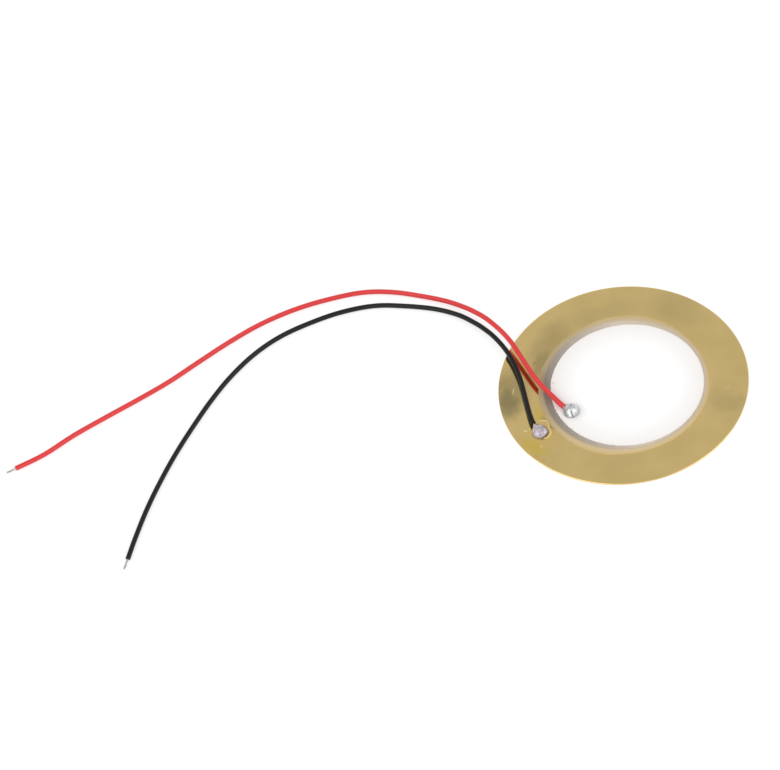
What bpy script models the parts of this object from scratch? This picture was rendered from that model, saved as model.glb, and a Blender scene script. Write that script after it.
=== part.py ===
"""A piezo disc: a thin brass plate, a silvered piezoceramic disc glued on it, and two soldered leads.

Metres, +Z up. The plate lies on z = 0 with its centre at the origin, and the leads run towards -X.
Every layer keeps a few thousandths of a millimetre to the next one, because the whole stack is
only half a millimetre thick.
"""

import math

import bmesh
import bpy
import numpy as np
from mathutils import Matrix, Vector

MM = 0.001
LAYER_GAP = 0.004 * MM

# Brass plate, punched from sheet
PLATE_DIAMETER = 35.0 * MM
PLATE_THICKNESS = 0.25 * MM
PLATE_EDGE_RADIUS = 0.05 * MM

# Piezoceramic disc, a little off the plate's centre
CERAMIC_CENTRE = (0.15 * MM, -0.30 * MM)
CERAMIC_DIAMETER = 23.0 * MM
CERAMIC_THICKNESS = 0.20 * MM
CERAMIC_CHAMFER = 0.02 * MM

# Fired silver electrodes on both faces of the ceramic; the upper one is printed off centre
ELECTRODE_THICKNESS = 0.012 * MM
UPPER_ELECTRODE_CENTRE = (0.50 * MM, -0.45 * MM)
UPPER_ELECTRODE_DIAMETER = 21.5 * MM
LOWER_ELECTRODE_DIAMETER = 22.4 * MM

# Adhesive film, with the bead that squeezed out round the ceramic
BOND_THICKNESS = 0.018 * MM
BEAD_CENTRE = (0.10 * MM, -0.52 * MM)
BEAD_DIAMETER = 23.9 * MM
BEAD_HEIGHT = 0.13 * MM
BEAD_WALL = 0.06 * MM
BEAD_CLEARANCE = 0.01 * MM

# Solder joints
ELECTRODE_JOINT = (-7.85 * MM, -3.55 * MM)
ELECTRODE_JOINT_RADIUS = 1.15 * MM
ELECTRODE_JOINT_HEIGHT = 1.05 * MM
PLATE_JOINT = (-12.65 * MM, -6.00 * MM)
PLATE_JOINT_RADIUS = 1.15 * MM
PLATE_JOINT_HEIGHT = 0.85 * MM
JOINT_BORE_CLEARANCE = 0.05 * MM
DOME_SWEEP = math.radians(82.0)
DOME_STEPS = 7

# Flux stain that runs round the foot of the joint on the plate
FLUX_INNER_RADIUS = 1.28 * MM
FLUX_OUTER_RADIUS = 1.62 * MM
FLUX_THICKNESS = 0.012 * MM

# Leads: PVC sleeve over seven twisted strands, which count as one round conductor here
SLEEVE_DIAMETER = 0.70 * MM
SLEEVE_WALL = 0.16 * MM
CONDUCTOR_DIAMETER = 0.30 * MM
LEAD_REST_HEIGHT = 0.355 * MM
SLEEVE_START = 1.40 * MM
POINT_SPACING = 1.6 * MM
STEPS_PER_STRETCH = 24
LEAD_SIDES_RESOLUTION = 2

ROUND_SEGMENTS = 96
JOINT_SEGMENTS = 36

# Stack heights
PLATE_TOP = PLATE_THICKNESS
BOND_BOTTOM = PLATE_TOP + LAYER_GAP
BOND_TOP = BOND_BOTTOM + BOND_THICKNESS
LOWER_ELECTRODE_BOTTOM = BOND_TOP + LAYER_GAP
LOWER_ELECTRODE_TOP = LOWER_ELECTRODE_BOTTOM + ELECTRODE_THICKNESS
CERAMIC_BOTTOM = LOWER_ELECTRODE_TOP + LAYER_GAP
CERAMIC_TOP = CERAMIC_BOTTOM + CERAMIC_THICKNESS
UPPER_ELECTRODE_BOTTOM = CERAMIC_TOP + LAYER_GAP
UPPER_ELECTRODE_TOP = UPPER_ELECTRODE_BOTTOM + ELECTRODE_THICKNESS
ELECTRODE_JOINT_FOOT = UPPER_ELECTRODE_TOP + LAYER_GAP
PLATE_JOINT_FOOT = PLATE_TOP + LAYER_GAP

# Routes of the leads' centre lines, in millimetres, from the joint to the bare end.
# Each rises off its joint, arches over the plate's edge and comes down to lie on the surface.
RED_ROUTE = [
    (-7.85, -3.55, 0.92),
    (-8.95, -2.52, 1.04),
    (-9.99, -0.86, 1.23),
    (-10.98, 0.79, 1.42),
    (-11.88, 2.52, 1.64),
    (-12.67, 4.71, 1.78),
    (-13.39, 6.90, 1.88),
    (-14.25, 9.43, 1.97),
    (-15.16, 11.44, 1.97),
    (-16.19, 13.31, 1.84),
    (-17.29, 15.11, 1.57),
    (-18.60, 16.80, 1.22),
    (-20.00, 18.30, 0.89),
    (-22.20, 20.10, 0.56),
    (-25.40, 21.90, 0.38),
    (-29.40, 23.60, 0.355),
    (-33.60, 24.50, 0.355),
    (-38.70, 24.35, 0.355),
    (-43.80, 23.55, 0.355),
    (-48.80, 22.00, 0.355),
    (-53.50, 19.80, 0.355),
    (-58.20, 17.20, 0.355),
    (-62.80, 14.60, 0.355),
    (-67.50, 12.40, 0.355),
    (-72.30, 10.30, 0.355),
    (-77.00, 8.15, 0.355),
    (-81.50, 5.70, 0.355),
    (-85.70, 4.15, 0.355),
    (-87.15, 3.65, 0.355),
]
RED_BARE_END = 1.55 * MM

BLACK_ROUTE = [
    (-12.65, -6.00, 0.66),
    (-13.35, -4.80, 0.81),
    (-13.63, -3.40, 0.93),
    (-13.78, -1.01, 1.03),
    (-13.89, 1.39, 1.08),
    (-14.03, 3.68, 1.12),
    (-14.38, 5.97, 1.15),
    (-14.89, 8.08, 1.13),
    (-15.60, 10.00, 1.06),
    (-16.50, 11.90, 0.95),
    (-17.60, 13.65, 0.82),
    (-18.90, 15.30, 0.68),
    (-20.90, 17.30, 0.50),
    (-24.00, 19.20, 0.38),
    (-28.10, 20.70, 0.355),
    (-32.30, 21.70, 0.355),
    (-37.00, 21.62, 0.355),
    (-41.60, 20.70, 0.355),
    (-46.10, 19.20, 0.355),
    (-50.10, 16.90, 0.355),
    (-53.80, 13.75, 0.355),
    (-57.00, 10.20, 0.355),
    (-60.20, 6.00, 0.355),
    (-63.20, 1.70, 0.355),
    (-65.90, -2.70, 0.355),
    (-68.30, -7.10, 0.355),
    (-70.40, -11.60, 0.355),
    (-71.80, -14.90, 0.355),
    (-72.60, -16.77, 0.355),
]
BLACK_BARE_END = 1.95 * MM


def clear_scene():
    for thing in list(bpy.data.objects):
        bpy.data.objects.remove(thing)


def material(name, colour, roughness, metallic=0.0):
    """A Principled material; colour is linear red, green and blue."""
    made = bpy.data.materials.new(name)
    made.use_nodes = True
    shader = made.node_tree.nodes["Principled BSDF"]
    shader.inputs["Base Color"].default_value = (*colour, 1.0)
    shader.inputs["Roughness"].default_value = roughness
    shader.inputs["Metallic"].default_value = metallic
    return made


def link(name, data, finish):
    thing = bpy.data.objects.new(name, data)
    thing.data.materials.append(finish)
    bpy.context.scene.collection.objects.link(thing)
    return thing


def round_outline(angle):
    return 1.0


def stacked_rings(
    name, rings, finish, segments=ROUND_SEGMENTS, outline=round_outline, open_middle=False
):
    """A closed solid through level rings, each (centre, height, radius).

    It is capped at both ends or, with open_middle, joined from its last ring back to its first.
    A ring's radius is multiplied by outline(angle), so a joint's foot needn't be a true circle.
    """
    shape = bmesh.new()
    loops = []
    for centre, height, radius in rings:
        place = Matrix.Translation((*centre, height))
        made = bmesh.ops.create_circle(shape, radius=radius, segments=segments, matrix=place)
        for corner in made["verts"]:
            across = corner.co - place.translation
            across *= outline(math.atan2(across.y, across.x))
            corner.co = place.translation + across
        edges = {edge: None for corner in made["verts"] for edge in corner.link_edges}
        loops.append(list(edges))
    for lower, upper in zip(loops, loops[1:]):
        bmesh.ops.bridge_loops(shape, edges=lower + upper)
    if open_middle:
        bmesh.ops.bridge_loops(shape, edges=loops[-1] + loops[0])
    else:
        bmesh.ops.contextual_create(shape, geom=loops[0])
        bmesh.ops.contextual_create(shape, geom=loops[-1])
    bmesh.ops.recalc_face_normals(shape, faces=shape.faces)
    mesh = bpy.data.meshes.new(name)
    shape.to_mesh(mesh)
    shape.free()
    mesh.shade_smooth()
    mesh.set_sharp_from_angle(angle=math.radians(35.0))
    return link(name, mesh, finish)


def rounded_disc(centre, bottom, thickness, radius, edge):
    """Rings of a flat disc whose two rims are rounded to the radius edge, in two steps each."""
    turns = [math.radians(angle) for angle in (0.0, 45.0, 90.0)]
    lower = [
        (centre, bottom + edge * (1.0 - math.cos(turn)), radius - edge * (1.0 - math.sin(turn)))
        for turn in turns
    ]
    middle = 2.0 * bottom + thickness
    upper = [(centre, middle - height, reach) for _, height, reach in reversed(lower)]
    return lower + upper


def plain_disc(centre, bottom, thickness, radius):
    return [(centre, bottom, radius), (centre, bottom + thickness, radius)]


def bond_rings():
    """Rings of the adhesive: a film under the ceramic and a bead that climbs its edge, like a tray."""
    bead_radius = BEAD_DIAMETER / 2.0
    wall_radius = CERAMIC_DIAMETER / 2.0 + BEAD_CLEARANCE
    bead_top = BOND_BOTTOM + BEAD_HEIGHT
    halfway = [(near + far) / 2.0 for near, far in zip(CERAMIC_CENTRE, BEAD_CENTRE)]
    mid_radius = (wall_radius + BEAD_WALL + bead_radius) / 2.0
    return [
        (BEAD_CENTRE, BOND_BOTTOM, bead_radius),
        (BEAD_CENTRE, BOND_BOTTOM + 0.10 * BEAD_HEIGHT, bead_radius - 0.02 * MM),
        (halfway, BOND_BOTTOM + 0.40 * BEAD_HEIGHT, mid_radius),
        (CERAMIC_CENTRE, bead_top, wall_radius + BEAD_WALL),
        (CERAMIC_CENTRE, bead_top, wall_radius),
        (CERAMIC_CENTRE, BOND_TOP, wall_radius),
    ]


def joint_rings(centre, foot, radius, height):
    """Rings of a solder dome: a quarter ellipse from its foot up to a small flat crown."""
    rings = []
    for step in range(DOME_STEPS + 1):
        turn = DOME_SWEEP * step / DOME_STEPS
        rings.append((centre, foot + height * math.sin(turn), radius * math.cos(turn)))
    return rings


def flux_rings():
    """Rings of the flux stain: a thin flat washer round the foot of the joint on the plate."""
    bottom, top = PLATE_JOINT_FOOT, PLATE_JOINT_FOOT + FLUX_THICKNESS
    return [
        (PLATE_JOINT, bottom, FLUX_OUTER_RADIUS),
        (PLATE_JOINT, top, FLUX_OUTER_RADIUS),
        (PLATE_JOINT, top, FLUX_INNER_RADIUS),
        (PLATE_JOINT, bottom, FLUX_INNER_RADIUS),
    ]


def electrode_joint_outline(angle):
    """Nearly round, a little longer along Y."""
    return 1.0 - 0.02 * math.cos(2.0 * angle) + 0.01 * math.cos(3.0 * angle + 0.6)


def plate_joint_outline(angle):
    """A round foot with five blunt corners."""
    return 1.0 + 0.035 * math.cos(5.0 * angle + 0.9)


def smooth_curve(route):
    """A fine polyline on the Catmull-Rom curve through the route, and the length walked along it."""
    knots = np.array(route) * MM
    knots = np.vstack([2.0 * knots[0] - knots[1], knots, 2.0 * knots[-1] - knots[-2]])
    along = np.linspace(0.0, 1.0, STEPS_PER_STRETCH, endpoint=False)[:, None]
    stretches = []
    for before, start, end, after in zip(knots, knots[1:], knots[2:], knots[3:]):
        linear = (end - before) / 2.0
        square = before - 2.5 * start + 2.0 * end - 0.5 * after
        cube = 1.5 * (start - end) + 0.5 * (after - before)
        stretches.append(start + linear * along + square * along**2 + cube * along**3)
    curve = np.vstack([*stretches, knots[-2:-1]])
    curve[:, 2] = np.maximum(curve[:, 2], LEAD_REST_HEIGHT)
    steps = np.linalg.norm(np.diff(curve, axis=0), axis=1)
    return curve, np.concatenate([[0.0], np.cumsum(steps)])


def lead_points(route, bare_end):
    """Centre-line points of a lead: (conductor's points, sleeve's points).

    The sleeve's points are all points of the conductor too, so that both bend alike.
    """
    curve, walked = smooth_curve(route)
    first, last = SLEEVE_START, walked[-1] - bare_end
    sleeve_places = np.linspace(first, last, round((last - first) / POINT_SPACING) + 1)
    all_places = np.concatenate([[0.0], sleeve_places, [walked[-1]]])
    conductor = np.stack([np.interp(all_places, walked, axis) for axis in curve.T], axis=1)
    return conductor, conductor[1:-1]


def tube(name, points, radius, capped, finish):
    """A round tube along the points: a poly curve with a bevel."""
    curve = bpy.data.curves.new(name, "CURVE")
    curve.dimensions = "3D"
    curve.twist_mode = "Z_UP"
    curve.bevel_depth = radius
    curve.bevel_resolution = LEAD_SIDES_RESOLUTION
    curve.use_fill_caps = capped
    spline = curve.splines.new("POLY")
    spline.points.add(len(points) - 1)
    for place, point in zip(spline.points, points):
        place.co = (*point, 1.0)
    return link(name, curve, finish)


def make_lead(colour, route, bare_end, sleeve_finish, conductor_finish):
    """One lead: a hollow sleeve, and the conductor that runs through it and out at both ends."""
    conductor_points, sleeve_points = lead_points(route, bare_end)
    tube(colour + "_conductor", conductor_points, CONDUCTOR_DIAMETER / 2.0, True, conductor_finish)
    sleeve = tube(colour + "_insulation", sleeve_points, SLEEVE_DIAMETER / 2.0, False, sleeve_finish)
    wall = sleeve.modifiers.new("wall", "SOLIDIFY")
    wall.thickness = SLEEVE_WALL
    wall.offset = -1.0
    wall.use_even_offset = True
    return conductor_points


def bore_joint(joint, conductor_points):
    """Cuts the blind hole in a solder joint that its lead's end is held in."""
    radius = CONDUCTOR_DIAMETER / 2.0 + JOINT_BORE_CLEARANCE
    end, outside = Vector(conductor_points[0]), Vector(conductor_points[1])
    direction = (outside - end).normalized()
    start = end - direction * JOINT_BORE_CLEARANCE
    length = (outside - start).length + ELECTRODE_JOINT_RADIUS
    turned = direction.to_track_quat("Z", "Y").to_matrix().to_4x4()
    place = Matrix.Translation(start + direction * length / 2.0) @ turned
    shape = bmesh.new()
    bmesh.ops.create_cone(
        shape, cap_ends=True, segments=16, radius1=radius, radius2=radius, depth=length, matrix=place
    )
    mesh = bpy.data.meshes.new(joint.name + "_bore")
    shape.to_mesh(mesh)
    shape.free()
    cutter = bpy.data.objects.new(joint.name + "_bore", mesh)
    cutter.hide_render = True
    cutter.display_type = "WIRE"
    bpy.context.scene.collection.objects.link(cutter)
    cut = joint.modifiers.new("bore", "BOOLEAN")
    cut.operation = "DIFFERENCE"
    cut.object = cutter


def make_stack():
    """The plate and the layers on it, from the bottom up."""
    brass = material("brass", (0.53, 0.40, 0.16), 0.30, 1.0)
    adhesive = material("epoxy_adhesive", (0.62, 0.51, 0.30), 0.35)
    silver = material("fired_silver", (0.90, 0.88, 0.86), 0.45)
    ceramic = material("piezoceramic", (0.30, 0.28, 0.24), 0.60)
    middle = (0.0, 0.0)
    plate = rounded_disc(middle, 0.0, PLATE_THICKNESS, PLATE_DIAMETER / 2.0, PLATE_EDGE_RADIUS)
    stacked_rings("brass_plate", plate, brass)
    stacked_rings("bond_layer", bond_rings(), adhesive)
    radius = LOWER_ELECTRODE_DIAMETER / 2.0
    lower = plain_disc(CERAMIC_CENTRE, LOWER_ELECTRODE_BOTTOM, ELECTRODE_THICKNESS, radius)
    stacked_rings("lower_electrode", lower, silver)
    radius = CERAMIC_DIAMETER / 2.0
    disc = rounded_disc(CERAMIC_CENTRE, CERAMIC_BOTTOM, CERAMIC_THICKNESS, radius, CERAMIC_CHAMFER)
    stacked_rings("ceramic_disc", disc, ceramic)
    radius = UPPER_ELECTRODE_DIAMETER / 2.0
    upper = plain_disc(UPPER_ELECTRODE_CENTRE, UPPER_ELECTRODE_BOTTOM, ELECTRODE_THICKNESS, radius)
    stacked_rings("upper_electrode", upper, silver)


def make_joints():
    """The two solder joints, and the flux stain round the one on the plate."""
    solder = material("tin_solder", (0.62, 0.62, 0.62), 0.25, 1.0)
    flux = material("rosin_flux", (0.60, 0.38, 0.10), 0.25)
    rings = joint_rings(
        ELECTRODE_JOINT, ELECTRODE_JOINT_FOOT, ELECTRODE_JOINT_RADIUS, ELECTRODE_JOINT_HEIGHT
    )
    upper = stacked_rings("electrode_solder", rings, solder, JOINT_SEGMENTS, electrode_joint_outline)
    rings = joint_rings(PLATE_JOINT, PLATE_JOINT_FOOT, PLATE_JOINT_RADIUS, PLATE_JOINT_HEIGHT)
    lower = stacked_rings("plate_solder", rings, solder, JOINT_SEGMENTS, plate_joint_outline)
    stacked_rings("flux_residue", flux_rings(), flux, JOINT_SEGMENTS, open_middle=True)
    return upper, lower


clear_scene()
make_stack()
electrode_solder, plate_solder = make_joints()
tinned = material("tinned_copper", (0.60, 0.58, 0.55), 0.35, 1.0)
red_pvc = material("red_pvc", (0.75, 0.04, 0.04), 0.35)
black_pvc = material("black_pvc", (0.02, 0.02, 0.02), 0.40)
red_points = make_lead("red", RED_ROUTE, RED_BARE_END, red_pvc, tinned)
black_points = make_lead("black", BLACK_ROUTE, BLACK_BARE_END, black_pvc, tinned)
bore_joint(electrode_solder, red_points)
bore_joint(plate_solder, black_points)
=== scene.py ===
"""Looks of a piezo disc: brass plate, silvered piezoceramic, adhesive, solder joints, two leads.

Metres, +Z up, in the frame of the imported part: the plate lies on z = 0, centred on the origin.
Every new piece is a closed surface worked out as arrays of rings, and rides on the body "root".
"""

import math

import bpy
import numpy as np
from mathutils import Matrix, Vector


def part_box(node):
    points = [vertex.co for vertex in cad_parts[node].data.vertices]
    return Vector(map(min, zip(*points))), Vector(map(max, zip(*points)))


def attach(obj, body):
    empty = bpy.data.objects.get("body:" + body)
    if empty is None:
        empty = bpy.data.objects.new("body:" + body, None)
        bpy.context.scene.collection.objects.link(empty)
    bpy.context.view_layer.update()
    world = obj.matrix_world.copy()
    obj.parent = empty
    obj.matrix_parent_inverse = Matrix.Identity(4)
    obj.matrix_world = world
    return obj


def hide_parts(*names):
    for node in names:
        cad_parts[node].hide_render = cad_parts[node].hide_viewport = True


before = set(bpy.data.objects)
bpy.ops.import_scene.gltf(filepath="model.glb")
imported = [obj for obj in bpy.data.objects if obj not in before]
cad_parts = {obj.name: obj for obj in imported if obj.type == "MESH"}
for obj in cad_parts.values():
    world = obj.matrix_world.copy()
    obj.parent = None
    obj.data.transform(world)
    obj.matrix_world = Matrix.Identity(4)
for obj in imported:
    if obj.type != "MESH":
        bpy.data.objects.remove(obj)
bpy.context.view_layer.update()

MM = 0.001
TAU = 2.0 * math.pi
BODY = "root"

# Levels of the stack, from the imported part
PLATE_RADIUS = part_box("brass_plate")[1].x
PLATE_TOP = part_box("brass_plate")[1].z
BOND_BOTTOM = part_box("bond_layer")[0].z
BOND_TOP = BOND_BOTTOM + 0.018 * MM
CERAMIC_LOW, CERAMIC_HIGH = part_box("ceramic_disc")
CERAMIC_RADIUS = (CERAMIC_HIGH.x - CERAMIC_LOW.x) / 2.0
CERAMIC_CENTRE = (
    (CERAMIC_LOW.x + CERAMIC_HIGH.x) / 2.0,
    (CERAMIC_LOW.y + CERAMIC_HIGH.y) / 2.0,
)
SILVER_LOW, SILVER_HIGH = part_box("upper_electrode")
SILVER_RADIUS = (SILVER_HIGH.x - SILVER_LOW.x) / 2.0
SILVER_CENTRE = (
    (SILVER_LOW.x + SILVER_HIGH.x) / 2.0,
    (SILVER_LOW.y + SILVER_HIGH.y) / 2.0,
)

# Leads: routes of the centre lines in millimetres, from the joint to the bare end
SLEEVE_DIAMETER = 0.70 * MM
SLEEVE_BORE = 0.38 * MM
STRAND_DIAMETER = 0.10 * MM
STRAND_PITCH = 4.5 * MM
LEAD_REST_HEIGHT = 0.355 * MM
RED_SLEEVE_START = 1.25 * MM
BLACK_SLEEVE_START = 1.54 * MM
STEPS_PER_STRETCH = 24
RED_ROUTE = [
    (-7.85, -3.55, 0.92),
    (-8.95, -2.52, 1.04),
    (-9.99, -0.86, 1.23),
    (-10.98, 0.79, 1.42),
    (-11.88, 2.52, 1.64),
    (-12.67, 4.71, 1.78),
    (-13.39, 6.90, 1.88),
    (-14.25, 9.43, 1.97),
    (-15.16, 11.44, 1.97),
    (-16.19, 13.31, 1.84),
    (-17.29, 15.11, 1.57),
    (-18.60, 16.80, 1.22),
    (-20.00, 18.30, 0.89),
    (-22.20, 20.10, 0.56),
    (-25.40, 21.90, 0.38),
    (-29.40, 23.60, 0.355),
    (-33.60, 24.50, 0.355),
    (-38.70, 24.35, 0.355),
    (-43.80, 23.55, 0.355),
    (-48.80, 22.00, 0.355),
    (-53.50, 19.80, 0.355),
    (-58.20, 17.20, 0.355),
    (-62.80, 14.60, 0.355),
    (-67.50, 12.40, 0.355),
    (-72.30, 10.30, 0.355),
    (-77.00, 8.15, 0.355),
    (-81.50, 5.70, 0.355),
    (-85.70, 4.15, 0.355),
    (-87.15, 3.65, 0.355),
]
RED_BARE_END = 1.55 * MM
BLACK_ROUTE = [
    (-12.65, -6.00, 0.66),
    (-13.35, -4.80, 0.81),
    (-13.63, -3.40, 0.93),
    (-13.78, -1.01, 1.03),
    (-13.89, 1.39, 1.08),
    (-14.03, 3.68, 1.12),
    (-14.38, 5.97, 1.15),
    (-14.89, 8.08, 1.13),
    (-15.60, 10.00, 1.06),
    (-16.50, 11.90, 0.95),
    (-17.60, 13.65, 0.82),
    (-18.90, 15.30, 0.68),
    (-20.90, 17.30, 0.50),
    (-24.00, 19.20, 0.38),
    (-28.10, 20.70, 0.355),
    (-32.30, 21.70, 0.355),
    (-37.00, 21.62, 0.355),
    (-41.60, 20.70, 0.355),
    (-46.10, 19.20, 0.355),
    (-50.10, 16.90, 0.355),
    (-53.80, 13.75, 0.355),
    (-57.00, 10.20, 0.355),
    (-60.20, 6.00, 0.355),
    (-63.20, 1.70, 0.355),
    (-65.90, -2.70, 0.355),
    (-68.30, -7.10, 0.355),
    (-70.40, -11.60, 0.355),
    (-71.80, -14.90, 0.355),
    (-72.60, -16.77, 0.355),
]
BLACK_BARE_END = 1.95 * MM


# ---------------------------------------------------------------- colours and nodes


def from_hex(code):
    """An sRGB hex colour as linear red, green, blue and an alpha of 1."""
    values = np.array([int(code[at : at + 2], 16) for at in (0, 2, 4)]) / 255.0
    linear = np.where(values <= 0.04045, values / 12.92, ((values + 0.055) / 1.055) ** 2.4)
    return (*linear.tolist(), 1.0)


def add(tree, kind, inputs=None, stops=(), **settings):
    """Adds a node. settings are its own properties; inputs are values, or sockets to link from.

    Sockets that share a name go by their number: a colour Mix takes its factor as 0 and its two
    colours as 6 and 7, and gives the mixed colour as output 2.
    """
    made = tree.nodes.new("ShaderNode" + kind)
    for name, value in settings.items():
        setattr(made, name, value)
    for name, value in (inputs or {}).items():
        if isinstance(value, bpy.types.NodeSocket):
            tree.links.new(value, made.inputs[name])
        else:
            made.inputs[name].default_value = value
    for at, (place, colour) in enumerate(stops):
        stop = made.color_ramp.elements[at] if at < 2 else made.color_ramp.elements.new(place)
        stop.position = place
        stop.color = colour
    return made


def layered(tree, colour, layers):
    """Lays colours over the first one in turn: each layer is its amount, 0 to 1, and its colour."""
    for amount, over in layers:
        sockets = {0: amount, 6: colour, 7: over}
        colour = add(tree, "Mix", sockets, data_type="RGBA").outputs[2]
    return colour


def new_material(name, **constants):
    """A material, its node tree and its shader, with constants set on the shader's own sockets."""
    made = bpy.data.materials.new(name)
    made.use_nodes = True
    shader = made.node_tree.nodes["Principled BSDF"]
    for socket, value in constants.items():
        shader.inputs[socket.replace("_", " ")].default_value = value
    return made, made.node_tree, shader


def connect(tree, shader, **sources):
    """Links nodes' outputs to the shader's own sockets."""
    for socket, source in sources.items():
        tree.links.new(source, shader.inputs[socket.replace("_", " ")])


def grey(value):
    """A linear grey."""
    return (value, value, value, 1.0)


# ---------------------------------------------------------------- materials

# Marks on the plate's upper face: centre x, y, half length, half width (mm), turn (degrees) and
# strength
# Olive patches: partly tarnish, partly a painted reflection of dark surroundings in the brass
TARNISH_AND_DARK_REFLECTION = [
    (-16.2, 0.6, 4.2, 3.0, 80.0, 0.86),
    (-15.6, 2.0, 5.8, 3.8, 80.0, 0.58),
    (-10.7, 6.0, 5.4, 2.3, 58.0, 0.62),
    (-9.0, 9.4, 6.6, 3.2, 45.0, 0.36),
    (-1.5, 12.9, 7.0, 2.4, 5.0, 0.20),
    (9.8, 11.6, 6.4, 4.2, -45.0, 0.20),
    (13.6, -6.6, 4.2, 2.9, -15.0, 0.25),
    (13.5, -8.4, 2.8, 2.0, -50.0, 0.07),
    (-0.5, -13.5, 6.0, 2.0, 0.0, 0.05),
    (-11.3, -4.5, 1.9, 1.1, 105.0, 0.60),
]
FLUX_WASH = [
    (-13.9, -8.2, 3.2, 2.0, -40.0, 0.8),
    (-12.2, -2.9, 3.2, 1.7, 75.0, 0.6),
    (-13.0, -6.4, 5.0, 3.6, 60.0, 0.3),
]
# Scratches in the tarnish, painted brighter than bare brass as glints (painted highlights), and
# rosy smudges by the adhesive and near the rim
SCRATCH_GLINTS = [
    (-15.26, 2.10, 0.85, 0.13, 75.0, 0.9),
    (-16.75, 2.55, 0.60, 0.11, 80.0, 0.25),
    (14.12, -3.90, 0.55, 0.12, 34.0, 0.4),
]
SMUDGES = [
    (-11.61, 6.36, 0.42, 0.28, 20.0, 0.38),
    (-10.90, 4.56, 0.38, 0.28, 60.0, 0.34),
    (-13.10, -10.75, 0.90, 0.50, -30.0, 0.14),
    (-13.95, -10.00, 0.80, 0.50, 0.0, 0.18),
]


def spots(tree, place, marks, level):
    """The strongest of several soft oval spots: strength × smoothstep((1 - distance) / 0.8).

    The distance is 0 in an oval's middle and 1 on its edge.
    """
    strongest = None
    # A spot only reaches this far above and below the face it lies on
    depth = 0.2 * MM
    for x, y, long, wide, turn, strength in marks:
        oval = add(
            tree,
            "Mapping",
            {
                "Vector": place,
                "Location": (x * MM, y * MM, level),
                "Rotation": (0.0, 0.0, math.radians(turn)),
                "Scale": (long * MM, wide * MM, depth),
            },
            vector_type="TEXTURE",
        )
        oval_place = {"Vector": oval.outputs["Vector"]}
        soft = add(tree, "TexGradient", oval_place, gradient_type="SPHERICAL")
        spread = add(
            tree,
            "MapRange",
            {"Value": soft.outputs["Fac"], "From Max": 0.8, "To Max": strength},
            interpolation_type="SMOOTHSTEP",
        )
        if strongest is None:
            strongest = spread.outputs[0]
        else:
            both = add(tree, "Math", {0: strongest, 1: spread.outputs[0]}, operation="MAXIMUM")
            strongest = both.outputs[0]
    return strongest


def rolled_brass():
    """Brass sheet, rolled and punched: a satin mirror, golden, with faint rolling lines.

    Broad soft olive patches are partly tarnish from handling and the heat of soldering, and partly
    a painted reflection of dark surroundings. Flux that ran off the joint leaves a yellow wash.
    """
    made, tree, shader = new_material("rolled_brass", Metallic=1.0)
    place = add(tree, "TexCoord").outputs["Object"]
    # Patches have wavering edges: the place is pushed about by up to 0.8 mm over 2.5 mm
    push = add(tree, "TexNoise", {"Vector": place, "Scale": 1.0 / (2.5 * MM), "Detail": 3.0})
    halves = {0: push.outputs["Color"], 1: (0.5, 0.5, 0.5)}
    offset = add(tree, "VectorMath", halves, operation="SUBTRACT")
    wavering = add(
        tree,
        "VectorMath",
        {0: offset.outputs[0], 1: (2.4 * MM, 2.4 * MM, 0.0), 2: place},
        operation="MULTIPLY_ADD",
    ).outputs[0]
    # Olive patches: partly tarnish, partly a painted reflection of dark surroundings
    tarnish_and_dark_reflection = spots(tree, wavering, TARNISH_AND_DARK_REFLECTION, PLATE_TOP)
    wash = spots(tree, wavering, FLUX_WASH, PLATE_TOP)
    # Slow changes of tone, 7 mm across
    cloud = add(tree, "TexNoise", {"Vector": place, "Scale": 1.0 / (7.0 * MM), "Detail": 2.0})
    stops = [(0.30, from_hex("E5C986")), (0.70, from_hex("F0D38F"))]
    tone = add(tree, "ValToRGB", {"Fac": cloud.outputs["Fac"]}, stops)
    marks = [
        (wash, from_hex("EACB62")),
        (tarnish_and_dark_reflection, from_hex("9C8E66")),
        # Scratches painted brighter than bare brass: painted glints
        (spots(tree, place, SCRATCH_GLINTS, PLATE_TOP), from_hex("FFF0B4")),
        (spots(tree, place, SMUDGES, PLATE_TOP), from_hex("B47F5C")),
    ]
    colour = layered(tree, tone.outputs["Color"], marks)
    # Rolling lines, really a few thousandths of a millimetre apart, drawn 0.12 mm apart to show
    lines_at = add(
        tree,
        "Mapping",
        {
            "Vector": place,
            "Rotation": (0.0, 0.0, math.radians(24.0)),
            "Scale": (1.0 / (6.0 * MM), 1.0 / (0.12 * MM), 1.0),
        },
    )
    across = {"Vector": lines_at.outputs["Vector"], "Scale": 1.0, "Detail": 4.0}
    lines = add(tree, "TexNoise", across)
    gloss = add(tree, "MapRange", {"Value": lines.outputs["Fac"], "To Min": 0.10, "To Max": 0.17})
    # Tarnish scatters the light a little more
    with_tarnish = {0: tarnish_and_dark_reflection, 1: 0.03, 2: gloss.outputs["Result"]}
    duller = add(tree, "Math", with_tarnish, operation="MULTIPLY_ADD")
    bumps = {"Height": lines.outputs["Fac"], "Strength": 0.25, "Distance": 0.0006 * MM}
    relief = add(tree, "Bump", bumps).outputs[0]
    connect(tree, shader, Base_Color=colour, Roughness=duller.outputs[0], Normal=relief)
    return made


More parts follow.
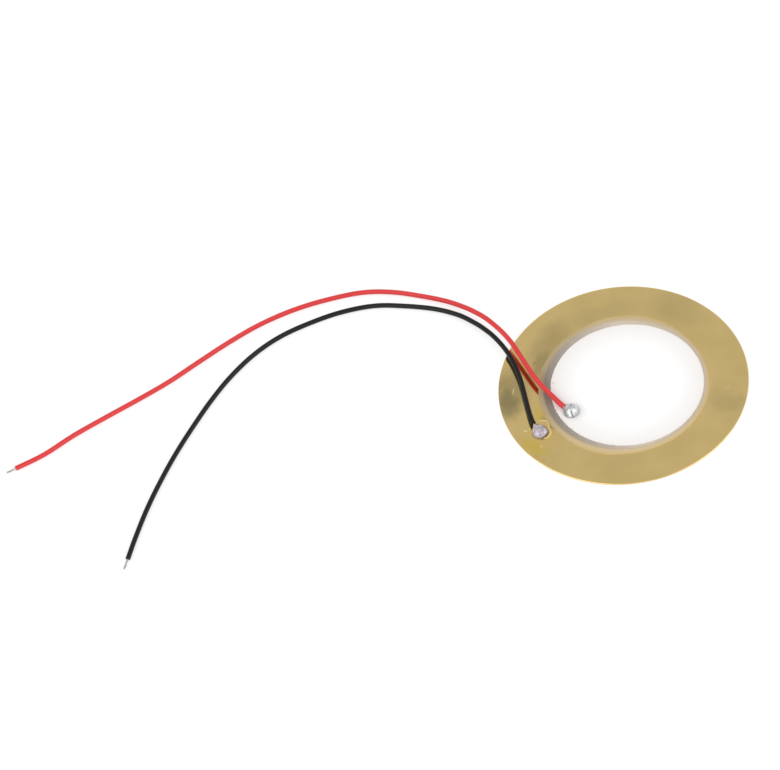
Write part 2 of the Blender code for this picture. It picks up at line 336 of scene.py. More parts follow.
def cured_adhesive():
    """Epoxy squeezed out and cured: a pale beige, slightly cloudy bead with a smooth skin.

    The skin gives small soft highlights. Its thin outer edge takes on some of the brass, and its
    thin lip takes on the tone of the ceramic under it, which is dark on the side of the joints.
    """
    made, tree, shader = new_material(
        "cured_adhesive", Roughness=0.45, IOR=1.52, Specular_IOR_Level=0.35
    )
    lay = add(tree, "Attribute", attribute_name="lay").outputs["Vector"]
    parts = add(tree, "SeparateXYZ", {"Vector": lay})
    # Cloudiness, 0.9 mm across
    cloud = add(tree, "TexNoise", {"Vector": lay, "Scale": 1.0 / (0.9 * MM), "Detail": 4.0})
    stops = [(0.35, from_hex("BAA57F")), (0.62, from_hex("CCB68C"))]
    body = add(tree, "ValToRGB", {"Fac": cloud.outputs["Fac"]}, stops)
    # The third part of the attribute is -1 at the lip, 0 over the ceramic's wall, 1 at the foot
    outwards = {"Value": parts.outputs["Z"], "From Min": 0.15, "From Max": 1.0}
    thin = add(tree, "MapRange", outwards)
    # The bead is greyer towards the side of the joints, -X
    joint_side = {0: lay, 1: (-1.0, 0.35, 0.0)}
    towards = add(tree, "VectorMath", joint_side, operation="DOT_PRODUCT")
    greyed = add(
        tree,
        "MapRange",
        {
            "Value": towards.outputs["Value"],
            "From Min": 4.0 * MM,
            "From Max": 13.0 * MM,
            "To Max": 0.62,
        },
        interpolation_type="SMOOTHSTEP",
    )
    left_half = {"Value": parts.outputs["X"], "From Min": -11.5 * MM, "From Max": 0.0}
    beneath = add(tree, "MapRange", left_half)
    stops = [(0.0, from_hex("8A7C67")), (0.35, from_hex("A69780")), (1.0, from_hex("BDAE96"))]
    under_lip = add(tree, "ValToRGB", {"Fac": beneath.outputs["Result"]}, stops)
    inwards = {"Value": parts.outputs["Z"], "From Min": 0.40, "From Max": -0.7, "To Max": 0.9}
    veil = add(tree, "MapRange", inwards)
    films = [
        (thin.outputs["Result"], from_hex("C0A66C")),
        (greyed.outputs["Result"], from_hex("A29474")),
        (veil.outputs["Result"], under_lip.outputs["Color"]),
    ]
    colour = layered(tree, body.outputs["Color"], films)
    bumps = {"Height": cloud.outputs["Fac"], "Strength": 0.4, "Distance": 0.02 * MM}
    relief = add(tree, "Bump", bumps).outputs[0]
    connect(tree, shader, Base_Color=colour, Normal=relief)
    return made


# Specks on the upper electrode, as rows of the same kind. The last is a faint grey halo round the
# joint: painted shade of the bead.
SPECKS = [
    (-9.62, 2.15, 0.22, 0.16, 20.0, 0.55),
    (-9.30, 2.05, 0.12, 0.12, 0.0, 0.30),
    (-8.95, -5.35, 0.20, 0.12, -50.0, 0.50),
    (-7.40, -7.45, 0.24, 0.10, -40.0, 0.45),
    (-3.10, -10.45, 0.30, 0.10, -20.0, 0.35),
    (9.35, 5.60, 0.18, 0.10, 60.0, 0.25),
    (-9.86, -2.60, 0.26, 0.10, 75.0, 0.50),
    (-9.35, -4.40, 0.24, 0.10, -62.0, 0.45),
    (-8.25, -6.40, 0.28, 0.10, -48.0, 0.50),
    (-6.30, -8.45, 0.24, 0.09, -38.0, 0.40),
    (-4.85, -9.55, 0.26, 0.09, -30.0, 0.40),
    (-7.60, -3.55, 2.20, 2.00, 0.0, 0.26),
]


def fired_silver():
    """Silver paste, screen printed and fired: nearly white and matt, because it stays unpolished.

    The print's mesh leaves a very fine grain, the rim is a little thinner and rosier, and a few
    specks are bare or sooty. A faint grey halo round the joint is painted shade.
    """
    made, tree, shader = new_material(
        "fired_silver", Metallic=0.0, Roughness=0.42, Specular_IOR_Level=0.35
    )
    place = add(tree, "TexCoord").outputs["Object"]
    # The distance from the film's middle, as a share of its radius; the film is 0.5 mm up
    centred = add(
        tree,
        "Mapping",
        {
            "Vector": place,
            "Location": (*SILVER_CENTRE, 0.5 * MM),
            "Scale": (SILVER_RADIUS, SILVER_RADIUS, SILVER_RADIUS),
        },
        vector_type="TEXTURE",
    )
    out = add(tree, "VectorMath", {0: centred.outputs["Vector"]}, operation="LENGTH")
    rim = add(
        tree,
        "ValToRGB",
        {"Fac": out.outputs["Value"]},
        stops=[
            (0.55, from_hex("FAFAFA")),
            (0.82, from_hex("F1EFEE")),
            (0.985, from_hex("EBE7E4")),
            (1.0, from_hex("DDD6D0")),
        ],
    )
    # Print grain, really 0.04 mm, drawn at 0.12 mm to show
    grain = add(tree, "TexNoise", {"Vector": place, "Scale": 1.0 / (0.12 * MM), "Detail": 2.0})
    unevenness = {"Value": grain.outputs["Fac"], "To Min": 0.97, "To Max": 1.03}
    grain_tone = add(tree, "MapRange", unevenness)
    printed = add(
        tree,
        "Mix",
        {0: 1.0, 6: rim.outputs["Color"], 7: grain_tone.outputs["Result"]},
        data_type="RGBA",
        blend_type="MULTIPLY",
    )
    # Specks, and a painted shade halo round the joint
    specks_and_painted_shade = spots(tree, place, SPECKS, SILVER_HIGH.z)
    colour = layered(tree, printed.outputs[2], [(specks_and_painted_shade, from_hex("8E8A88"))])
    bumps = {"Height": grain.outputs["Fac"], "Strength": 0.3, "Distance": 0.004 * MM}
    relief = add(tree, "Bump", bumps).outputs[0]
    connect(tree, shader, Base_Color=colour, Normal=relief)
    return made


def sintered_ceramic():
    """Sintered, unglazed piezoceramic: a dry warm grey with a fine grain, mottled by heat.

    Only its outer margin shows. It is darker towards -X, on the side of the joints, and darkest at
    -X itself, where a shadow of the red lead is painted in.
    """
    made, tree, shader = new_material("sintered_piezoceramic", Roughness=0.55, IOR=1.6)
    place = add(tree, "TexCoord").outputs["Object"]
    centred = add(
        tree,
        "Mapping",
        {
            "Vector": place,
            "Location": (*CERAMIC_CENTRE, 0.0),
            "Scale": (CERAMIC_RADIUS, CERAMIC_RADIUS, CERAMIC_RADIUS),
        },
        vector_type="TEXTURE",
    )
    sides = add(tree, "SeparateXYZ", {"Vector": centred.outputs["Vector"]})
    across = add(tree, "MapRange", {"Value": sides.outputs["X"], "From Min": -1.0, "From Max": 1.0})
    # Darker towards -X; the darkest stop, at -X, is a painted shadow of the red lead, which crosses
    # the margin there
    body = add(
        tree,
        "ValToRGB",
        {"Fac": across.outputs["Result"]},
        stops=[
            (0.0, from_hex("766C60")),
            (0.067, from_hex("8A8277")),
            (0.20, from_hex("A0978A")),
            (0.41, from_hex("BBAD9C")),
            (0.55, from_hex("C8BAA6")),
            (1.0, from_hex("B9A995")),
        ],
    )
    # Grain, really a few thousandths of a millimetre, drawn at 0.35 mm and finer to show
    grain = add(tree, "TexNoise", {"Vector": place, "Scale": 1.0 / (0.35 * MM), "Detail": 5.0})
    unevenness = {"Value": grain.outputs["Fac"], "To Min": 0.82, "To Max": 1.18}
    mottle = add(tree, "MapRange", unevenness)
    grained = add(
        tree,
        "Mix",
        {0: 1.0, 6: body.outputs["Color"], 7: mottle.outputs["Result"]},
        data_type="RGBA",
        blend_type="MULTIPLY",
    )
    bumps = {"Height": grain.outputs["Fac"], "Strength": 0.5, "Distance": 0.01 * MM}
    relief = add(tree, "Bump", bumps).outputs[0]
    connect(tree, shader, Base_Color=grained.outputs[2], Normal=relief)
    return made


def tin_solder(name, clean, skin, roughness):
    """Tin solder frozen from a melt: a bright metal with a wavy skin. Its creases are painted dark,
    a painted dark reflection, and its ridges are painted near white, a painted highlight.

    The third part of the attribute is 1 deep in a crease and -1 on a ridge painted as a highlight.
    """
    made, tree, shader = new_material(name, Metallic=1.0)
    lay = add(tree, "Attribute", attribute_name="lay").outputs["Vector"]
    parts = add(tree, "SeparateXYZ", {"Vector": lay})
    # Waves of the frozen skin, 0.45 mm long, and ripples of 0.14 mm
    flow = {"Vector": lay, "Scale": 1.0 / (0.45 * MM), "Detail": 3.0, "Distortion": 0.4}
    waves = add(tree, "TexNoise", flow)
    stops = [(0.38, from_hex(skin)), (0.60, from_hex(clean))]
    body = add(tree, "ValToRGB", {"Fac": waves.outputs["Fac"]}, stops)
    # Creases painted dark (painted dark reflection) and ridges painted near white (painted
    # highlight)
    painted_ridge_highlight = add(tree, "Math", {0: parts.outputs["Z"], 1: -1.0}, operation="MULTIPLY")
    painted_dark_and_highlight = [(parts.outputs["Z"], from_hex("57504E")), (painted_ridge_highlight.outputs[0], from_hex("FDFDFC"))]
    colour = layered(tree, body.outputs["Color"], painted_dark_and_highlight)
    gloss = add(
        tree,
        "MapRange",
        {"Value": waves.outputs["Fac"], "To Min": roughness + 0.08, "To Max": roughness - 0.05},
    ).outputs[0]
    fine = add(tree, "TexNoise", {"Vector": lay, "Scale": 1.0 / (0.14 * MM), "Detail": 3.0})
    bumps = {"Height": fine.outputs["Fac"], "Strength": 0.45, "Distance": 0.012 * MM}
    relief = add(tree, "Bump", bumps).outputs[0]
    connect(tree, shader, Base_Color=colour, Roughness=gloss, Normal=relief)
    return made


def rosin_flux():
    """Rosin flux, melted and set: a thin glassy amber film, with a thicker, brighter rolled rim."""
    made, tree, shader = new_material(
        "rosin_flux", Roughness=0.12, IOR=1.54, Coat_Weight=0.6, Coat_Roughness=0.05
    )
    place = add(tree, "TexCoord").outputs["Object"]
    lay = add(tree, "Attribute", attribute_name="lay").outputs["Vector"]
    parts = add(tree, "SeparateXYZ", {"Vector": lay})
    streaks = add(tree, "TexNoise", {"Vector": place, "Scale": 1.0 / (0.5 * MM), "Detail": 3.0})
    stops = [(0.35, from_hex("BC9F5C")), (0.65, from_hex("D0B36C"))]
    film = add(tree, "ValToRGB", {"Fac": streaks.outputs["Fac"]}, stops)
    # The third part of the attribute is 1 on the rolled rim and 0.6 on the spattered drops
    rim = (parts.outputs["Z"], from_hex("EFD088"))
    colour = layered(tree, film.outputs["Color"], [rim])
    connect(tree, shader, Base_Color=colour)
    return made


def extruded_pvc(name, dark, light):
    """Soft PVC extruded over the strands: an even colour with a satin skin.

    Faint lines from the die run along it, and the skin has a slight orange peel.
    """
    made, tree, shader = new_material(name, Roughness=0.38, IOR=1.53, Specular_IOR_Level=0.27)
    lay = add(tree, "Attribute", attribute_name="lay").outputs["Vector"]
    # Lines really a hundredth of a millimetre apart, drawn 0.09 mm apart and 7 mm long to show
    lines_at = add(
        tree,
        "Mapping",
        {"Vector": lay, "Scale": (1.0 / (0.09 * MM), 1.0 / (0.09 * MM), 1.0 / (7.0 * MM))},
    )
    drawn = {"Vector": lines_at.outputs["Vector"], "Scale": 1.0, "Detail": 2.0}
    lines = add(tree, "TexNoise", drawn)
    stops = [(0.30, from_hex(dark)), (0.70, from_hex(light))]
    body = add(tree, "ValToRGB", {"Fac": lines.outputs["Fac"]}, stops)
    peel = add(tree, "TexNoise", {"Vector": lay, "Scale": 1.0 / (0.16 * MM), "Detail": 2.0})
    bumps = {"Height": peel.outputs["Fac"], "Strength": 0.25, "Distance": 0.006 * MM}
    relief = add(tree, "Bump", bumps).outputs[0]
    connect(tree, shader, Base_Color=body.outputs["Color"], Normal=relief)
    return made


def tinned_copper():
    """Copper strands dipped in tin: a soft grey metal, brownish where the copper shows through."""
    made, tree, shader = new_material("tinned_copper", Metallic=1.0, Roughness=0.32)
    lay = add(tree, "Attribute", attribute_name="lay").outputs["Vector"]
    dip = add(tree, "TexNoise", {"Vector": lay, "Scale": 1.0 / (0.25 * MM), "Detail": 3.0})
    stops = [(0.36, from_hex("B6ADA6")), (0.58, from_hex("DCDAD8"))]
    body = add(tree, "ValToRGB", {"Fac": dip.outputs["Fac"]}, stops)
    bumps = {"Height": dip.outputs["Fac"], "Strength": 0.3, "Distance": 0.005 * MM}
    relief = add(tree, "Bump", bumps).outputs[0]
    connect(tree, shader, Base_Color=body.outputs["Color"], Normal=relief)
    return made


# ---------------------------------------------------------------- surfaces


def new_object(name, data):
    """An object in the scene, at the origin."""
    made = bpy.data.objects.new(name, data)
    bpy.context.scene.collection.objects.link(made)
    return made


def closed_surface(rings, loop):
    """Points, quads and triangles of a closed surface through rings of points.

    Ring i and ring i + 1 are joined by quads. The first and last ring are each closed by a fan
    round their mean point or, with loop, joined to each other. The faces point outwards: they are
    turned round if the enclosed volume, the sum of a · (b × c) / 6, comes out negative.
    """
    count, around = rings.shape[:2]
    ring, place = np.meshgrid(
        np.arange(count if loop else count - 1), np.arange(around), indexing="ij"
    )
    here = ring * around
    there = (ring + 1) % count * around
    after = (place + 1) % around
    quads = np.stack([here + place, here + after, there + after, there + place], axis=-1)
    quads = quads.reshape(-1, 4)
    points = rings.reshape(-1, rings.shape[2])
    fans = np.empty((0, 3), int)
    if not loop:
        place = np.arange(around)
        after = (place + 1) % around
        last = (count - 1) * around
        first_pole = np.full(around, len(points))
        fans = np.concatenate(
            [
                np.stack([after, place, first_pole], axis=-1),
                np.stack([last + place, last + after, first_pole + 1], axis=-1),
            ]
        )
        points = np.vstack([points, rings[0].mean(axis=0), rings[-1].mean(axis=0)])
    triangles = np.concatenate([quads[:, [0, 1, 2]], quads[:, [0, 2, 3]], fans])
    near = points[:, :3] - points[:, :3].mean(axis=0)
    a, b, c = near[triangles].transpose(1, 0, 2)
    if np.einsum("ij,ij->", a, np.cross(b, c)) < 0.0:
        quads = quads[:, ::-1]
        fans = fans[:, ::-1]
    return points, quads, fans


def make_piece(name, surfaces, finish, nodes, sharp=40.0):
    """A piece from closed surfaces (rings, loop), which rides on the body and replaces CAD nodes.

    Each ring point is x, y, z and the three parts of its "lay" attribute.
    """
    points = []
    faces = []
    start = 0
    for rings, loop in surfaces:
        some, quads, fans = closed_surface(rings, loop)
        points.append(some)
        faces += (quads + start).tolist() + (fans + start).tolist()
        start += len(some)
    points = np.vstack(points)
    mesh = bpy.data.meshes.new(name)
    mesh.from_pydata(points[:, :3], [], faces)
    lay = mesh.attributes.new("lay", "FLOAT_VECTOR", "POINT")
    lay.data.foreach_set("vector", points[:, 3:6].astype(np.float32).ravel())
    mesh.materials.append(finish)
    mesh.shade_smooth()
    mesh.set_sharp_from_angle(angle=math.radians(sharp))
    mesh.validate()
    piece = new_object(name, mesh)
    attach(piece, BODY)
    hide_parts(*nodes)
    return piece


def angles(count):
    """Equal steps of a full turn, in radians."""
    return np.arange(count) * TAU / count


def wander(angle, seed, slow, fast, size):
    """A closed wavy line: sines of slow to fast turns, their heights falling as 1 / √turns."""
    source = np.random.default_rng(seed)
    turns = np.arange(slow, fast)
    phases = source.uniform(0.0, TAU, len(turns))
    heights = source.normal(size=len(turns)) / np.sqrt(turns)
    line = (heights * np.sin(angle[:, None] * turns + phases)).sum(axis=1)
    return size * line / np.abs(line).max()


def near_angle(angle, middle, width):
    """A bell over an angle: exp(-(difference / width)²), in degrees."""
    away = (np.degrees(angle) - middle + 180.0) % 360.0 - 180.0
    return np.exp(-((away / width) ** 2))


def from_table(angle, table, spread):
    """Radii read from a table of degrees and millimetres, as running means over 2 × spread + 1."""
    line = np.interp(np.degrees(angle), *np.array(table).T)
    padded = np.concatenate([line[-spread:], line, line[:spread]])
    width = 2 * spread + 1
    return np.convolve(padded, np.ones(width) / width, mode="valid") * MM


def turned_rings(centre, angle, radii, heights):
    """Rings of a turned shape: centre + radius × (cos a, sin a), at that height.

    radii and heights hold one row for each ring, and one number or one for each angle in a row.
    The attribute is the place itself.
    """
    radii = np.broadcast_to(radii, (len(radii), len(angle)))
    heights = np.broadcast_to(heights, radii.shape)
    x = centre[0] + radii * np.cos(angle)
    y = centre[1] + radii * np.sin(angle)
    return np.stack([x, y, heights, x, y, heights], axis=-1)


def column(values):
    """Millimetres as a column of metres, one row for each ring."""
    return np.array(values)[:, None] * MM


# ---------------------------------------------------------------- the stack


def make_plate(finish):
    """The plate: a turned disc punched from sheet.

    Its upper rim is rolled over by the die in a quarter oval 0.16 mm wide and 0.06 mm deep. Its
    wall is straight below that, down to 0.075 mm, where it breaks off in a ragged bevel.
    """
    angle = angles(480)
    radius = PLATE_RADIUS / MM
    top = PLATE_TOP / MM
    underside = [1.5, 6.0, 11.0, 14.0, 16.0, 17.0]
    broken = [radius - 0.05, radius - 0.02, radius]
    roll = np.linspace(0.0, math.pi / 2.0, 7)
    rolled_out = radius - 0.16 * (1.0 - np.cos(roll))
    rolled_up = top - 0.06 * (1.0 - np.sin(roll))
    flat = [17.1, 16.6, 16.0, 15.2, 14.2, 13.2, 12.2, 9.0, 5.0, 1.5]
    radii = np.repeat(column([*underside, *broken, *rolled_out, *flat]), len(angle), axis=1)
    heights = [0.0] * len(underside) + [0.0, 0.022, 0.075, *rolled_up, *[top] * len(flat)]
    edge = len(underside)
    radii[edge] -= np.abs(wander(angle, 11, 20, 120, 0.03 * MM))
    radii[edge + 1] -= np.abs(wander(angle, 12, 20, 120, 0.012 * MM))
    rings = turned_rings((0.0, 0.0), angle, radii, column(heights))
    return make_piece("brass_disc", [(rings, False)], finish, ["brass_plate"])


# Foot of the adhesive bead round the ceramic's centre: degrees, and millimetres
ADHESIVE_FOOT = [
    (0, 11.84),
    (30, 11.80),
    (45, 12.05),
    (60, 12.40),
    (75, 12.48),
    (90, 12.40),
    (105, 12.25),
    (120, 12.10),
    (150, 12.12),
    (195, 12.08),
    (225, 12.30),
    (240, 12.38),
    (255, 12.26),
    (270, 12.08),
    (300, 12.04),
    (330, 11.92),
    (360, 11.84),
]


def make_adhesive(finish):
    """The adhesive: a film under the ceramic, a bead that climbs its edge, and a lip over its rim.

    From the ceramic's wall, at 0, to the foot, at 1, the bead's height falls as (1 - f) to the
    power 1.7. The foot's radius follows its table, and it wanders by up to 0.06 mm.
    Inwards from the wall the lip, about 0.24 mm wide, thins out on top of the ceramic.
    """
    angle = angles(480)
    wall = np.full(len(angle), CERAMIC_RADIUS + 0.01 * MM)
    foot = from_table(angle, ADHESIVE_FOOT, 12) + wander(angle, 21, 4, 60, 0.06 * MM)
    foot_top = BOND_BOTTOM + 0.012 * MM
    lip_top = CERAMIC_HIGH.z + 0.008 * MM
    lip_under = CERAMIC_HIGH.z + 0.0008 * MM
    thinnest = 0.0012 * MM
    inner = turned_rings(CERAMIC_CENTRE, angle, wall[None], np.zeros((1, 1)))[0]
    outer = turned_rings(CERAMIC_CENTRE, angle, foot[None], np.zeros((1, 1)))[0]
    share = np.linspace(1.0, 0.0, 18)[:, None, None]
    bead = inner + (outer - inner) * share
    share = share[:, :, 0]
    lumps = 1.0 + 0.7 * share * (1.0 - share) * wander(angle, 23, 5, 60, 1.0)
    bead[:, :, 2] = foot_top + (lip_top - foot_top) * (1.0 - share) ** 1.7 * lumps
    bead[:, :, 5] = share
    lip = 0.24 * MM + wander(angle, 24, 4, 90, 0.05 * MM)
    over = np.array([0.25, 0.6, 0.9, 1.0])[:, None]
    thin = lip_top - (lip_top - lip_under - thinnest) * over**2
    lap = turned_rings(CERAMIC_CENTRE, angle, wall - lip * over, thin * np.ones_like(lip))
    lap[:, :, 5] = -over
    tucked = np.stack([wall - lip, wall])
    tuck = turned_rings(CERAMIC_CENTRE, angle, tucked, lip_under * np.ones((2, 1)))
    tuck[:, :, 5] = [[-1.0], [0.0]]
    under = turned_rings(CERAMIC_CENTRE, angle, column([2.0, 8.0, 11.6]), BOND_BOTTOM)
    edge = outer.copy()[None]
    edge[:, :, 2] = BOND_BOTTOM
    edge[:, :, 5] = 1.0
    groove = inner.copy()[None]
    groove[:, :, 2] = BOND_TOP
    film = turned_rings(CERAMIC_CENTRE, angle, column([11.0, 8.0, 2.0]), BOND_TOP)
    rings = np.concatenate([under, edge, bead, lap, tuck, groove, film])
    return make_piece("adhesive_bead", [(rings, False)], finish, ["bond_layer"])


def make_ceramic(finish):
    """The ceramic: a turned disc with sharp rims.

    Small chips, up to 0.065 mm wide and half as deep, are missing from its upper rim.
    """
    angle = angles(540)
    chips = np.maximum(wander(angle, 31, 12, 160, 0.10 * MM) - 0.035 * MM, 0.0)
    radius = CERAMIC_RADIUS / MM
    low, high = CERAMIC_LOW.z / MM, CERAMIC_HIGH.z / MM
    # Each ring's radius and height in mm, and the shares of a chip's width by which it is set
    # inwards and down
    profile = [
        (2.0, low, 0.0, 0.0),
        (8.0, low, 0.0, 0.0),
        (radius - 0.02, low, 0.0, 0.0),
        (radius, low + 0.02, 0.0, 0.0),
        (radius, high - 0.03, 0.2, 0.5),
        (radius - 0.015, high - 0.008, 0.6, 0.25),
        (radius - 0.03, high, 1.0, 0.0),
        (11.2, high, 0.0, 0.0),
        (8.0, high, 0.0, 0.0),
        (2.0, high, 0.0, 0.0),
    ]
    reach, level, inwards, down = np.array(profile).T[:, :, None]
    radii = reach * MM - inwards * chips
    heights = level * MM - down * chips
    rings = turned_rings(CERAMIC_CENTRE, angle, radii, heights)
    surfaces = [(rings, False)]
    return make_piece("piezoceramic_disc", surfaces, finish, ["ceramic_disc"])


def make_electrode(finish):
    """The upper electrode: a printed film whose outline wanders by 0.03 mm.

    Towards -X it is more ragged, by up to 0.075 mm more. Its rim thins out over its last 0.1 mm.
    """
    angle = angles(900)
    low, high = SILVER_LOW.z, SILVER_HIGH.z
    ragged = wander(angle, 41, 6, 90, 0.03 * MM)
    ragged += wander(angle, 42, 30, 200, 0.075 * MM) * near_angle(angle, 200.0, 48.0)
    rim = SILVER_RADIUS - 0.03 * MM + ragged
    middle = np.ones(len(angle)) * MM
    radii = [2.0 * middle, 9.0 * middle, rim, rim - 0.01 * MM, rim - 0.05 * MM, rim - 0.12 * MM]
    radii += [9.0 * middle, 5.0 * middle, 2.0 * middle]
    heights = np.array([low, low, low, low + 0.004 * MM, high - 0.003 * MM, high, high, high, high])
    rings = turned_rings(SILVER_CENTRE, angle, np.array(radii), heights[:, None])
    surfaces = [(rings, False)]
    return make_piece("silver_electrode", surfaces, finish, ["upper_electrode"])


# ---------------------------------------------------------------- solder and flux

# Neck of solder over the strands, from the joint's centre along the lead, in millimetres: its
# half widths, and how far it stands over the lead's middle
NECK_HALF_WIDTHS = [(0.0, 0.80), (0.7, 0.54), (1.2, 0.38)]
NECK_COVER = [(0.0, 0.27), (1.2, 0.26)]


def neck_height(x, y, lead_line, foot):
    """The neck's height over the foot: strands' height plus cover, in a half round across them."""
    start, end = lead_line
    toward = end - start
    run = np.linalg.norm(toward[:2])
    along_x, along_y = toward[:2] / run
    from_x = x - start[0]
    from_y = y - start[1]
    along = from_x * along_x + from_y * along_y
    aside = np.abs(from_y * along_x - from_x * along_y)
    strands = start[2] - foot + toward[2] / run * along
    half_width = np.interp(along, *np.array(NECK_HALF_WIDTHS).T * MM)
    cover = np.interp(along, *np.array(NECK_COVER).T * MM)
    half_round = np.sqrt(np.maximum(1.0 - (aside / half_width) ** 2, 0.0))
    return np.where(along > 0.0, (strands + cover) * half_round, 0.0)


def press_marks(x, y, height, dark, marks):
    """Presses the marks into a height. Returns it, and how far it is painted dark (to 1) or painted
    as a highlight (to -1).

    Each mark is a groove along a line, depth × exp(-(distance / width)²), or a ridge if the depth
    is negative.
    """
    clean = np.zeros_like(x)
    for x0, y0, x1, y1, deep, width in marks:
        start = np.array([x0, y0]) * MM
        run = np.array([x1 - x0, y1 - y0]) * MM
        step = ((x - start[0]) * run[0] + (y - start[1]) * run[1]) / (run @ run)
        step = np.clip(step, 0.0, 1.0)
        away = np.hypot(x - start[0] - step * run[0], y - start[1] - step * run[1])
        groove = np.exp(-((away / (width * MM)) ** 2))
        height = height - deep * MM * groove
        # A groove is painted dark, as a painted dark reflection; a ridge is painted bright, as a
        # painted highlight
        if deep > 0.0:
            dark = np.maximum(dark, groove**2)
        else:
            clean = np.maximum(clean, groove**2 * min(1.0, -deep / FULL_RIDGE))
    return height, dark - clean * (1.0 - dark)


def make_joint(
    name, node, finish, shift, crown, outline, power, fullness, lead_line, marks, painted_dark_foot, seed
):
    """A solder joint: a dome over a polar grid, with a neck that takes in the lead's strands.

    Dome height is H × (1 - ρ^power)^fullness over a foot of radius R(a), where ρ = r / R. The foot
    swells by 0.16 mm towards the lead. Dome and neck are blended by a smooth maximum.
    All but the foot is also shaken by five sets of slow waves, 0.003 mm high each, before the
    marks are pressed in. The dark-foot function paints the foot darker: a painted dark reflection
    on its steep flank.
    """
    low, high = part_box(node)
    foot = low.z
    start, end = lead_line
    centre = start[:2] + np.array(shift) * MM
    rise = (high.z - foot) * crown
    angle = angles(160)
    heading = math.degrees(math.atan2(end[1] - start[1], end[0] - start[0]))
    reach = outline(angle) * MM + 0.16 * MM * near_angle(angle, heading, 24.0)
    share = np.sin(np.linspace(math.pi / 2.0, 0.03, 44))[:, None]
    radius = share * reach
    x = radius * np.cos(angle)
    y = radius * np.sin(angle)
    dome = rise * np.maximum(1.0 - share**power, 0.0) ** fullness * np.ones_like(x)
    inside = np.clip((reach - radius) / (0.05 * MM), 0.0, 1.0)
    neck = neck_height(centre[0] + x, centre[1] + y, lead_line, foot) * np.sqrt(inside)
    blend = 0.09 * MM
    height = (dome + neck + np.sqrt((dome - neck) ** 2 + blend**2) - blend) / 2.0
    source = np.random.default_rng(seed)
    for turn, phase in zip(source.uniform(0.0, TAU, 5), source.uniform(0.0, TAU, 5)):
        waves = np.sin((x * math.cos(turn) + y * math.sin(turn)) / (0.16 * MM) + phase)
        height = height + 0.003 * MM * waves * (1.0 - share**6)
    # The foot's flank is painted darker: a painted dark reflection
    past = np.clip((share - 0.80) / 0.20, 0.0, 1.0)
    dark = painted_dark_foot(angle) * past**2 * (3.0 - 2.0 * past)
    height, painted_dark_and_highlight = press_marks(x, y, height, dark, marks)
    height = np.clip(height, 0.0, rise) * (share < 1.0)
    grid = np.stack([centre[0] + x, centre[1] + y, foot + height, x, y, painted_dark_and_highlight], axis=-1)
    base = grid[:1].copy()
    base[:, :, :2] = centre + (base[:, :, :2] - centre) * 0.3
    rings = np.concatenate([base, grid])
    return make_piece(name, [(rings, False)], finish, [node], sharp=75.0)


def bead_outline(angle):
    """Foot of the joint on the electrode, in millimetres: nearly round, longest along Y."""
    return 1.20 * (1.0 - 0.035 * np.cos(2.0 * angle) + 0.015 * np.cos(3.0 * angle + 0.6))


def pad_outline(angle):
    """Foot of the joint on the plate, in millimetres: five blunt corners, and a swell at 70°."""
    corners = 1.0 + 0.03 * np.cos(5.0 * angle + 0.9) + 0.02 * np.cos(2.0 * angle)
    return 1.15 * corners + 0.10 * near_angle(angle, 70.0, 35.0)


def bead_painted_dark_foot(angle):
    """Painted dark reflection round the bead's foot, all round it: 0.2, and up to 0.5 towards +Y.
    """
    return 0.2 + 0.3 * near_angle(angle, 80.0, 60.0)


def pad_painted_dark_foot(angle):
    """The same painted dark reflection round the other joint's foot: 0.2, and up to 0.9 from -120
    to 30 degrees.
    """
    return 0.2 + 0.7 * near_angle(angle, -45.0, 75.0)


# Marks: start x, y, end x, y from the joint's centre, depth, width (mm). A groove is painted dark,
# a painted dark reflection. A negative depth is a ridge, painted as a full highlight from
# FULL_RIDGE up.
FULL_RIDGE = 0.03
BEAD_MARKS = [
    (0.08, 0.46, 0.12, 0.24, 0.15, 0.12),
    (-0.08, -0.62, 0.12, -1.16, 0.12, 0.10),
    (0.20, 0.22, 0.14, 0.00, -0.024, 0.11),
    (-0.42, -0.72, -0.34, -1.00, -0.022, 0.13),
    (0.30, -0.70, 0.30, -0.98, -0.024, 0.09),
    (0.76, 0.20, 0.72, -0.36, -0.012, 0.12),
]
PAD_MARKS = [
    (-0.16, -0.80, 0.02, -0.86, 0.05, 0.09),
    (0.58, 0.62, 0.80, 0.35, 0.02, 0.07),
    (-0.88, 0.66, -0.94, 0.14, -0.026, 0.12),
    (0.60, -0.94, 0.84, -0.72, -0.024, 0.11),
    (-0.40, 0.60, 0.30, 0.70, -0.016, 0.18),
    (-0.50, -0.25, 0.10, -0.05, -0.012, 0.16),
]

# Outer edge of the flux pool round the joint on the plate: degrees, and millimetres from its middle
FLUX_EDGE = [
    (0, 1.52),
    (27, 1.52),
    (45, 1.95),
    (60, 2.38),
    (82, 2.32),
    (100, 1.92),
    (120, 1.45),
    (140, 1.15),
    (165, 1.05),
    (195, 1.05),
    (240, 1.05),
    (285, 1.10),
    (305, 1.30),
    (325, 1.42),
    (340, 1.54),
    (360, 1.52),
]
# Spattered drops: x, y, radius, height in millimetres
FLUX_DROPS = [
    (-14.67, -5.15, 0.17, 0.05),
    (-14.02, -4.98, 0.13, 0.04),
    (-14.38, -5.28, 0.08, 0.03),
    (-12.93, -8.15, 0.10, 0.03),
    (-12.90, -8.42, 0.09, 0.03),
]


